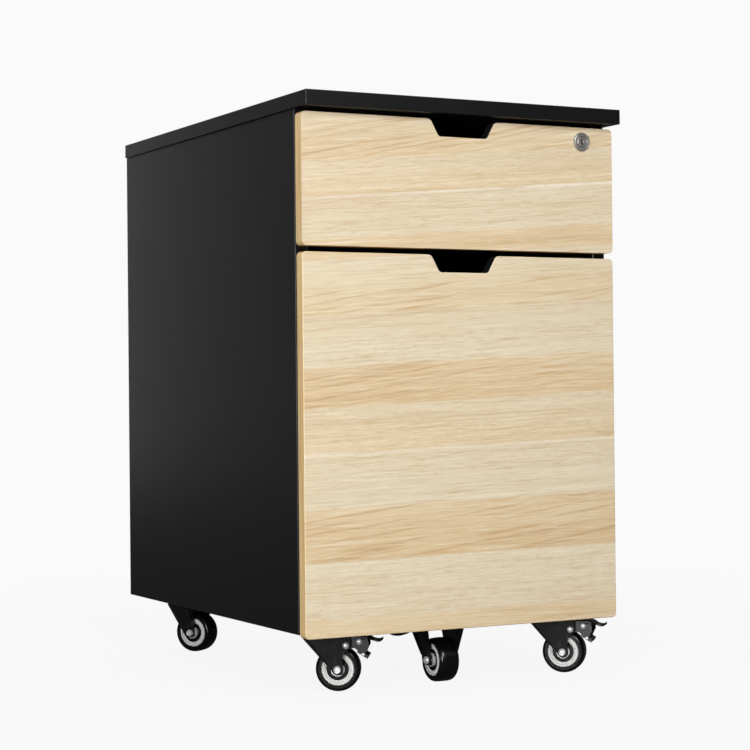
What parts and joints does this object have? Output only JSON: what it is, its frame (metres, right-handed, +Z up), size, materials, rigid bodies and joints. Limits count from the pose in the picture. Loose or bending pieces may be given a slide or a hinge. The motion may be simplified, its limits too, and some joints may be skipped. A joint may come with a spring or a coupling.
{
  "type": "rolling pedestal cabinet",
  "caption": "Black under-desk pedestal on swivel casters with a lockable shallow drawer over a deep file drawer, light oak fronts with finger notches.",
  "frame": {"origin": "on the floor, under the middle of the top panel", "axes": "+Z up; the drawer fronts face -Y and the drawers open towards -Y; +X to the right as seen from behind the drawers looking towards +Y"},
  "size_m": [0.403, 0.54, 0.6535],
  "materials": {
    "black_laminate": "matte black melamine laminate on board",
    "oak_laminate": "light oak woodgrain laminate, satin",
    "drawer_board": "grey laminate on board",
    "slide_zinc": "bright zinc plated steel",
    "lock_nickel": "satin nickel",
    "black_powder_coat": "black powder coat on pressed steel",
    "black_tyre": "glossy black polyurethane tread",
    "grey_core": "light grey moulded wheel core",
    "zinc_bolt": "bright zinc plated bolt"
  },
  "bodies": {
    "cabinet": {"top_panel": "black_laminate", "left_side_panel": "black_laminate", "right_side_panel": "black_laminate", "back_panel": "black_laminate", "bottom_panel": "black_laminate", "middle_rail": "black_laminate", "upper_left_slide_outer": "slide_zinc", "upper_right_slide_outer": "slide_zinc", "lower_left_slide_outer": "slide_zinc", "lower_right_slide_outer": "slide_zinc", "front_left_caster_plate": "black_powder_coat", "front_right_caster_plate": "black_powder_coat", "rear_left_caster_plate": "black_powder_coat", "rear_right_caster_plate": "black_powder_coat"},
    "upper_slide_carriage": {"upper_left_slide_middle": "slide_zinc", "upper_right_slide_middle": "slide_zinc"},
    "upper_drawer": {"upper_drawer_front": "oak_laminate", "upper_drawer_left_side": "drawer_board", "upper_drawer_right_side": "drawer_board", "upper_drawer_back": "drawer_board", "upper_drawer_bottom": "drawer_board", "upper_left_slide_inner": "slide_zinc", "upper_right_slide_inner": "slide_zinc", "lock_housing": "lock_nickel"},
    "lock_barrel": {"lock_plug": "lock_nickel"},
    "lower_slide_carriage": {"lower_left_slide_middle": "slide_zinc", "lower_right_slide_middle": "slide_zinc"},
    "lower_drawer": {"lower_drawer_front": "oak_laminate", "lower_drawer_left_side": "drawer_board", "lower_drawer_right_side": "drawer_board", "lower_drawer_back": "drawer_board", "lower_drawer_bottom": "drawer_board", "lower_left_slide_inner": "slide_zinc", "lower_right_slide_inner": "slide_zinc", "left_file_rail": "slide_zinc", "right_file_rail": "slide_zinc", "drawer_caster_block": "black_laminate", "drawer_caster_plate": "black_powder_coat"},
    "front_left_fork": {"front_left_caster_fork": "black_powder_coat", "front_left_caster_axle": "zinc_bolt"},
    "front_left_wheel": {"front_left_wheel_core": "grey_core", "front_left_tyre": "black_tyre"},
    "front_left_pedal": {"front_left_brake_pedal": "black_powder_coat"},
    "front_right_fork": {"front_right_caster_fork": "black_powder_coat", "front_right_caster_axle": "zinc_bolt"},
    "front_right_wheel": {"front_right_wheel_core": "grey_core", "front_right_tyre": "black_tyre"},
    "front_right_pedal": {"front_right_brake_pedal": "black_powder_coat"},
    "rear_left_fork": {"rear_left_caster_fork": "black_powder_coat", "rear_left_caster_axle": "zinc_bolt"},
    "rear_left_wheel": {"rear_left_wheel_core": "grey_core", "rear_left_tyre": "black_tyre"},
    "rear_right_fork": {"rear_right_caster_fork": "black_powder_coat", "rear_right_caster_axle": "zinc_bolt"},
    "rear_right_wheel": {"rear_right_wheel_core": "grey_core", "rear_right_tyre": "black_tyre"},
    "drawer_fork": {"drawer_caster_fork": "black_powder_coat", "drawer_caster_axle": "zinc_bolt"},
    "drawer_wheel": {"drawer_wheel_core": "grey_core", "drawer_tyre": "black_tyre"}
  },
  "joints": [
    {"name": "upper_drawer_slide", "type": "slide", "parent": "cabinet", "child": "upper_drawer", "axis": [0, -1, 0], "range_m": [0, 0.43]},
    {"name": "upper_carriage_slide", "type": "slide", "parent": "cabinet", "child": "upper_slide_carriage", "axis": [0, -1, 0], "range_m": [0, 0.215]},
    {"name": "lower_drawer_slide", "type": "slide", "parent": "cabinet", "child": "lower_drawer", "axis": [0, -1, 0], "range_m": [0, 0.43]},
    {"name": "lower_carriage_slide", "type": "slide", "parent": "cabinet", "child": "lower_slide_carriage", "axis": [0, -1, 0], "range_m": [0, 0.215]},
    {"name": "lock_turn", "type": "hinge", "parent": "upper_drawer", "child": "lock_barrel", "pos_m": [0.1577, -0.2545, 0.616], "axis": [0, 1, 0], "range_deg": [0, 90]},
    {"name": "front_left_swivel", "type": "hinge", "parent": "cabinet", "child": "front_left_fork", "pos_m": [-0.147, -0.184, 0.062], "axis": [0, 0, 1], "continuous": true},
    {"name": "front_left_wheel_spin", "type": "hinge", "parent": "front_left_fork", "child": "front_left_wheel", "pos_m": [-0.13089, -0.19407, 0.025], "axis": [0.5299, 0.848, 0], "continuous": true},
    {"name": "front_left_brake_press", "type": "hinge", "parent": "front_left_fork", "child": "front_left_pedal", "pos_m": [-0.12241, -0.19937, 0.052], "axis": [0.5299, 0.848, 0], "range_deg": [0, 12]},
    {"name": "front_right_swivel", "type": "hinge", "parent": "cabinet", "child": "front_right_fork", "pos_m": [0.147, -0.191, 0.062], "axis": [0, 0, 1], "continuous": true},
    {"name": "front_right_wheel_spin", "type": "hinge", "parent": "front_right_fork", "child": "front_right_wheel", "pos_m": [0.16099, -0.20386, 0.025], "axis": [0.6769, 0.7361, 0], "continuous": true},
    {"name": "front_right_brake_press", "type": "hinge", "parent": "front_right_fork", "child": "front_right_pedal", "pos_m": [0.16835, -0.21063, 0.052], "axis": [0.6769, 0.7361, 0], "range_deg": [0, 12]},
    {"name": "rear_left_swivel", "type": "hinge", "parent": "cabinet", "child": "rear_left_fork", "pos_m": [-0.147, 0.215, 0.062], "axis": [0, 0, 1], "continuous": true},
    {"name": "rear_left_wheel_spin", "type": "hinge", "parent": "rear_left_fork", "child": "rear_left_wheel", "pos_m": [-0.13583, 0.19963, 0.025], "axis": [0.809, 0.5878, 0], "continuous": true},
    {"name": "rear_right_swivel", "type": "hinge", "parent": "cabinet", "child": "rear_right_fork", "pos_m": [0.147, 0.215, 0.062], "axis": [0, 0, 1], "continuous": true},
    {"name": "rear_right_wheel_spin", "type": "hinge", "parent": "rear_right_fork", "child": "rear_right_wheel", "pos_m": [0.15817, 0.19963, 0.025], "axis": [0.809, 0.5878, 0], "continuous": true},
    {"name": "drawer_swivel", "type": "hinge", "parent": "lower_drawer", "child": "drawer_fork", "pos_m": [0, -0.173, 0.062], "axis": [0, 0, 1], "continuous": true},
    {"name": "drawer_wheel_spin", "type": "hinge", "parent": "drawer_fork", "child": "drawer_wheel", "pos_m": [0, -0.192, 0.025], "axis": [1, 0, 0], "continuous": true}
  ],
  "couplings": [
    {"joint": "upper_carriage_slide", "follows": "upper_drawer_slide", "ratio": 0.5},
    {"joint": "lower_carriage_slide", "follows": "lower_drawer_slide", "ratio": 0.5}
  ]
}
